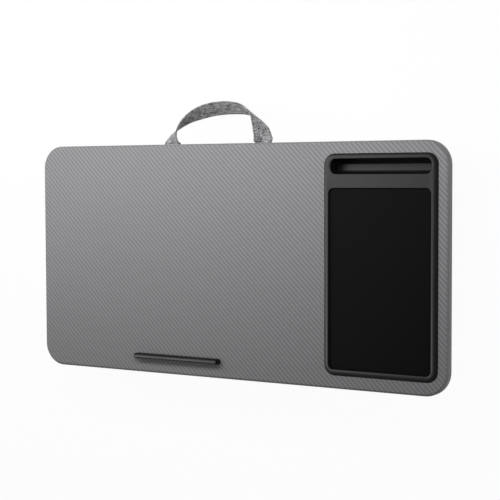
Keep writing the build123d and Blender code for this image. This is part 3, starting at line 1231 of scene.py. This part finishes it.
@dataclass
class CoverSeam:
    """A sewn seam round a pad: a drawn-in line with puckers and a row of stitches."""

    level: float
    depth: float = 2.2 * MM
    reach: float = 4.0 * MM
    pucker: float = 0.6 * MM
    pucker_width: float = 11 * MM
    pucker_reach: float = 12 * MM
    stitch_length: float = 3.4 * MM
    stitch_pitch: float = 5.0 * MM
    stitch_radius: float = 0.45 * MM
    stitch_rise: float = 4.5 * MM
    stitch_sides: int = 8
    stitch_rings: int = 6
    samples: int = 720

    def draw_in(self, piece: bpy.types.Object) -> None:
        """Pulls the cover in along the seam and puckers it on both sides.

        Args:
            piece: The pad, whose mesh is changed.
        """
        normals = [n.vector.copy() for n in piece.data.vertex_normals]
        for vertex, normal in zip(piece.data.vertices, normals):
            above = vertex.co.z - self.level
            sideways = math.hypot(normal.x, normal.y)
            groove = self.depth * math.exp(-((above / self.reach) ** 2))
            along = vertex.co.x * abs(normal.y) + vertex.co.y * abs(normal.x)
            wave = noise.noise(Vector((along / self.pucker_width, self.level, 0)))
            fold = self.pucker * wave * math.exp(-abs(above) / self.pucker_reach)
            vertex.co += normal * (fold - groove) * sideways

    def line(self, piece: bpy.types.Object, level: float) -> list[Vector]:
        """Finds the loop that the cover makes at one height.

        Args:
            piece: The pad.
            level: The height.

        Returns:
            Points round the loop, each a small turn from the next.
        """
        tree = BVHTree.FromPolygons(
            [v.co for v in piece.data.vertices], [p.vertices for p in piece.data.polygons]
        )
        corners = [Vector(corner) for corner in piece.bound_box]
        middle = sum(corners, Vector()) / len(corners)
        middle.z = level
        points = []
        for number in range(self.samples):
            turn = TURN * number / self.samples
            hit = tree.ray_cast(middle, Vector((math.cos(turn), math.sin(turn), 0)))[0]
            if hit is not None:
                points.append(hit)
        return points

    def stitches(self, piece: bpy.types.Object, thread: bpy.types.Material) -> None:
        """Lays a row of stitches above the seam, as one piece.

        Args:
            piece: The pad.
            thread: The thread's finish.
        """
        points = self.line(piece, self.level + self.stitch_rise)
        shape = bmesh.new()
        travelled = 0.0
        count = 0
        for here, there in zip(points, points[1:] + points[:1]):
            travelled += (there - here).length
            if travelled < self.stitch_pitch:
                continue
            travelled = 0.0
            count += 1
            heading = (there - here).normalized()
            made = bmesh.ops.create_uvsphere(
                shape, u_segments=self.stitch_sides, v_segments=self.stitch_rings, radius=1
            )["verts"]
            size = (self.stitch_radius, self.stitch_radius, self.stitch_length / 2)
            turned = heading.to_track_quat("Z", "X").to_matrix().to_4x4()
            place = Matrix.Translation(here) @ turned @ Matrix.Diagonal((*size, 1))
            bmesh.ops.transform(shape, matrix=place, verts=made)
        row = add_piece(f"{piece.name}_stitches", shape, thread, ALL_SMOOTH)
        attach(row, Body.TRAY.value)
        log.info("%s: %d stitches", row.name, count)


@dataclass
class Cushion:
    """The cushion: a stiff panel, a piped seam, two bolsters and a thin pad between them."""

    panel_corner: float = 27 * MM
    piping_segments: int = 12
    corner_steps: int = 14
    seam_level: float = -42 * MM

    def build(self) -> None:
        """Makes the piping and the pads, and dresses the panel and the fastening strips."""
        # Coarser yarns than the strap's: a darker grey with broader blotches.
        cover = HeatheredWeave(
            "heathered_cushion_cover",
            dark="#3A3A3C",
            pale="#77777A",
            yarn=1.4 * MM,
            blotch=14 * MM,
        ).build()
        dress("hook_strips", FasteningTape().build())
        # The loops stand closer than the hooks, so their nap looks finer.
        dress("loop_strips", FasteningTape("nylon_loop_tape", pitch=0.9 * MM).build())
        # Non-woven felt, bonded flat: dark and matt, with soft paler tufts.
        felt = GrainedSheet(
            "bonded_non_woven",
            colour="#1E1E20",
            fleck="#323235",
            grain_size=1.5 * MM,
            grain_depth=0.1 * MM,
            roughness=0.95,
        )
        dress("cushion_panel", felt.build())
        self.piping()
        thread = SewingThread().build()
        seam = CoverSeam(self.seam_level)
        for side, twin in (("left", ""), ("right", "bolster_left")):
            bolster = Pad(
                f"bolster_{side}_cover",
                f"bolster_{side}",
                fill=0.8,
                drawn_in=1.5 * MM,
                swell=3.5 * MM,
                twin=twin,
            ).build(cover)
            seam.draw_in(bolster)
            if twin:
                pocket = TroughPocket()
                pocket.ease_over(bolster)
                pocket.cut(bolster)
            seam.stitches(bolster, thread)
        Pad(
            "bridge_pad_cover",
            "cushion_bridge",
            fill=0.5,
            drawn_in=2 * MM,
            swell=3 * MM,
            voxel=4 * MM,
        ).build(cover)
        log.info("cushion: panel, piping, bolsters and bridge")

    def piping(self) -> None:
        """Sweeps the round piping along the seam, one side and one corner at a time."""
        low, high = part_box("cushion_piping")
        radius = (high.z - low.z) / 2
        panel_low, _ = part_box("cushion_panel")
        corner = self.panel_corner + (panel_low.x - low.x) - radius
        sides = [high.x - low.x - 2 * (radius + corner), high.y - low.y - 2 * (radius + corner)]
        shape = bmesh.new()
        bmesh.ops.create_circle(shape, cap_ends=False, radius=radius, segments=self.piping_segments)
        bmesh.ops.rotate(
            shape, cent=(0, 0, 0), matrix=Matrix.Rotation(TURN / 4, 3, "Y"), verts=shape.verts
        )
        front_left = Vector((low.x + radius + corner, low.y + radius, (low.z + high.z) / 2))
        bmesh.ops.translate(shape, vec=front_left, verts=shape.verts)
        ring = list(shape.edges)
        heading = Vector((1, 0, 0))
        centre = front_left + Vector((0, corner, 0))
        for number in range(4):
            run = heading * sides[number % 2]
            grown = bmesh.ops.extrude_edge_only(shape, edges=ring)["geom"]
            ring_verts = [v for v in grown if isinstance(v, bmesh.types.BMVert)]
            bmesh.ops.translate(shape, vec=run, verts=ring_verts)
            ring = [e for e in grown if isinstance(e, bmesh.types.BMEdge)]
            ring = [e for e in ring if all(v in ring_verts for v in e.verts)]
            centre = centre + run
            spun = bmesh.ops.spin(
                shape,
                geom=ring + ring_verts,
                cent=centre,
                axis=(0, 0, 1),
                angle=TURN / 4,
                steps=self.corner_steps,
                use_merge=False,
            )["geom_last"]
            ring = [e for e in spun if isinstance(e, bmesh.types.BMEdge)]
            heading = Matrix.Rotation(TURN / 4, 3, "Z") @ heading
        bmesh.ops.remove_doubles(shape, verts=shape.verts, dist=MERGE)
        bmesh.ops.recalc_face_normals(shape, faces=shape.faces)
        # Fine dark yarns over a cord: the seam reads as one dark line.
        trim = HeatheredWeave("woven_piping", dark="#232325", pale="#4A4A4D", yarn=0.8 * MM)
        piece = add_piece("seam_piping", shape, trim.build(), ALL_SMOOTH)
        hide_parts("cushion_piping")
        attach(piece, Body.TRAY.value)


# The studio


@dataclass(frozen=True)
class Lamp:
    """A rectangular lamp, out of the camera's sight."""

    name: str
    place: Vector
    aim: Vector
    size: tuple[float, float]
    power: float
    lights_paint: bool = True
    shows_in_gloss: bool = True

    def hang(self) -> None:
        """Puts the lamp in the scene."""
        light = bpy.data.lights.new(self.name, "AREA")
        light.shape = "RECTANGLE"
        light.size, light.size_y = self.size
        light.energy = self.power
        holder = bpy.data.objects.new(self.name, light)
        holder.location = self.place
        holder.rotation_euler = (self.aim - self.place).to_track_quat("-Z", "Y").to_euler()
        holder.visible_camera = False
        holder.visible_diffuse = self.lights_paint
        holder.visible_glossy = self.shows_in_gloss
        bpy.context.scene.collection.objects.link(holder)


@dataclass
class Studio:
    """A white floor, a dim room, the lamps and the photograph's camera.

    A long lamp hangs over the rear and a weak one fills the right. Gloss shows neither: it
    shows a soft panel at the left and a strip for the ledge, which light nothing else.
    """

    floor_size: float = 30.0
    floor_gap: float = 0.2 * MM
    floor_paint: str = "#F4F4F4"
    floor_keep: float = 0.96
    lamps: tuple[Lamp, ...] = (
        Lamp(
            "rear_strip_lamp",
            place=Vector((-0.32, 0.26, 0.39)),
            aim=Vector((-0.32, 0.26, -0.61)),
            size=(1.45, 0.22),
            power=4.75,
            shows_in_gloss=False,
        ),
        Lamp(
            "right_fill_lamp",
            place=Vector((1.15, 0.05, 0.25)),
            aim=Vector(),
            size=(0.5, 0.8),
            power=2.0,
            shows_in_gloss=False,
        ),
        Lamp(
            "left_soft_panel",
            place=Vector((-0.65, 0.25, 0.6)),
            aim=Vector((-0.35, 0.2, 0.05)),
            size=(1.25, 1.2),
            power=11.2,
            lights_paint=False,
        ),
        Lamp(
            "ledge_glint_panel",
            place=Vector((-0.52, -0.23, 0.6)),
            aim=Vector((-0.52, -0.23, -0.4)),
            size=(0.34, 0.1),
            power=0.8,
            lights_paint=False,
        ),
    )
    room_strength: float = 0.2
    camera_place: Vector = Vector((0.9077, 0.1062, 1.4364))
    camera_aim: Vector = Vector((0.03230, 0.01598, 0.0))
    camera_roll: float = math.radians(-0.192)
    camera_lens: float = 96.6
    camera_sensor: float = 36.0

    def build(self) -> None:
        """Makes the floor, the lights and the camera."""
        bpy.context.scene.view_settings.view_transform = "Standard"
        self.floor()
        self.room()
        for lamp in self.lamps:
            lamp.hang()
        self.camera()
        log.info("studio: floor, room, %d lamps and camera", len(self.lamps))

    def floor(self) -> None:
        """A white painted floor that shows white to the camera and keeps a faint shadow."""
        shape = bmesh.new()
        bmesh.ops.create_grid(shape, x_segments=1, y_segments=1, size=self.floor_size / 2)
        level = cad_box[0].z - self.floor_gap
        bmesh.ops.translate(shape, vec=(0, 0, level), verts=shape.verts)
        mesh = bpy.data.meshes.new("studio_floor")
        shape.to_mesh(mesh)
        shape.free()
        material = bpy.data.materials.new("white_painted_floor")
        add = emptied(material)
        paint = add("BsdfDiffuse", [linear(self.floor_paint)])
        glow = add("Emission", {"Strength": 1.0})
        path = add("LightPath").outputs
        seen = [path["Is Camera Ray"], path["Is Glossy Ray"]]
        seen = [add("Math", seen, operation="MAXIMUM"), path["Is Transmission Ray"]]
        seen = add("Math", seen, operation="MAXIMUM")
        share = add("Math", [seen, self.floor_keep], operation="MULTIPLY")
        add("OutputMaterial", [add("MixShader", [share, paint, glow])])
        mesh.materials.append(material)
        floor = bpy.data.objects.new("studio_floor", mesh)
        bpy.context.scene.collection.objects.link(floor)

    def room(self) -> None:
        """An evenly dim room."""
        world = bpy.data.worlds.new("studio_room")
        bpy.context.scene.world = world
        add = emptied(world)
        add("OutputWorld", [add("Background", {"Strength": self.room_strength})])

    def camera(self) -> None:
        """The photograph's camera, above and to the right, with its frame turned square."""
        back = (self.camera_place - self.camera_aim).normalized()
        right = Vector((0, 1, 0)).cross(back).normalized()
        up = back.cross(right)
        turned = Matrix((right, up, back)).transposed()
        turned = turned @ Matrix.Rotation(self.camera_roll, 3, "Z")
        data = bpy.data.cameras.new("studio_camera")
        data.lens = self.camera_lens
        data.sensor_width = self.camera_sensor
        data.dof.use_dof = False
        camera = bpy.data.objects.new("studio_camera", data)
        camera.matrix_world = Matrix.Translation(self.camera_place) @ turned.to_4x4()
        bpy.context.scene.collection.objects.link(camera)
        bpy.context.scene.camera = camera


def main() -> None:
    """Builds the studio and every sub-assembly, in order."""
    logging.basicConfig(level=logging.INFO, format="%(name)s: %(message)s")
    Studio().build()
    Board().build()
    MediaTray().build()
    DeviceLedge().build()
    CarryStrap().build()
    Cushion().build()


if __name__ == "__main__":
    main()
